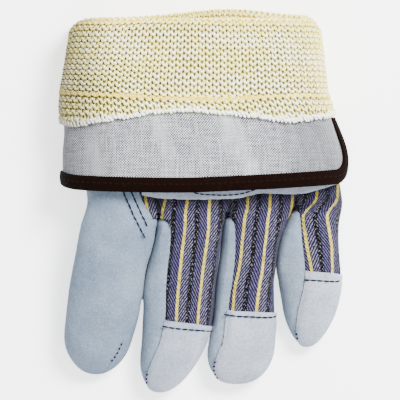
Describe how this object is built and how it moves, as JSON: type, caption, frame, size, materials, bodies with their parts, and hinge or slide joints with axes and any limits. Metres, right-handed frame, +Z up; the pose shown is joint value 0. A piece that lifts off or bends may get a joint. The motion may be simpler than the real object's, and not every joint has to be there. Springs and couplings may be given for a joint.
{
  "type": "leather palm work glove",
  "caption": "Left-hand work glove lying palm down: leather palm and fingertips, striped cloth back, knit lining and a woven safety cuff folded back over the hand.",
  "frame": {"origin": "on the floor below the middle of the glove as it lies", "axes": "+Z up, +Y towards the mouth of the folded cuff, +X towards the little finger"},
  "size_m": [0.1366, 0.1804, 0.0413],
  "materials": {
    "palm_leather": "suede split leather, matt",
    "cap_leather": "suede split leather, lighter, matt",
    "striped_cloth": "striped twill cotton, matt",
    "marled_knit": "marled wool-like knit, matt",
    "cuff_canvas": "plain woven canvas, matt",
    "binding_tape": "folded tape, slightly glossy"
  },
  "bodies": {
    "root": {"palm": "palm_leather", "thumb": "palm_leather", "middle_finger_leather": "palm_leather", "ring_finger_leather": "palm_leather", "little_finger_leather": "palm_leather", "fabric_back": "striped_cloth", "knuckle_strap": "palm_leather", "middle_fingertip": "cap_leather", "ring_fingertip": "cap_leather", "little_fingertip": "cap_leather", "knit_liner": "marled_knit", "canvas_cuff": "cuff_canvas", "cuff_binding": "binding_tape"}
  },
  "joints": []
}
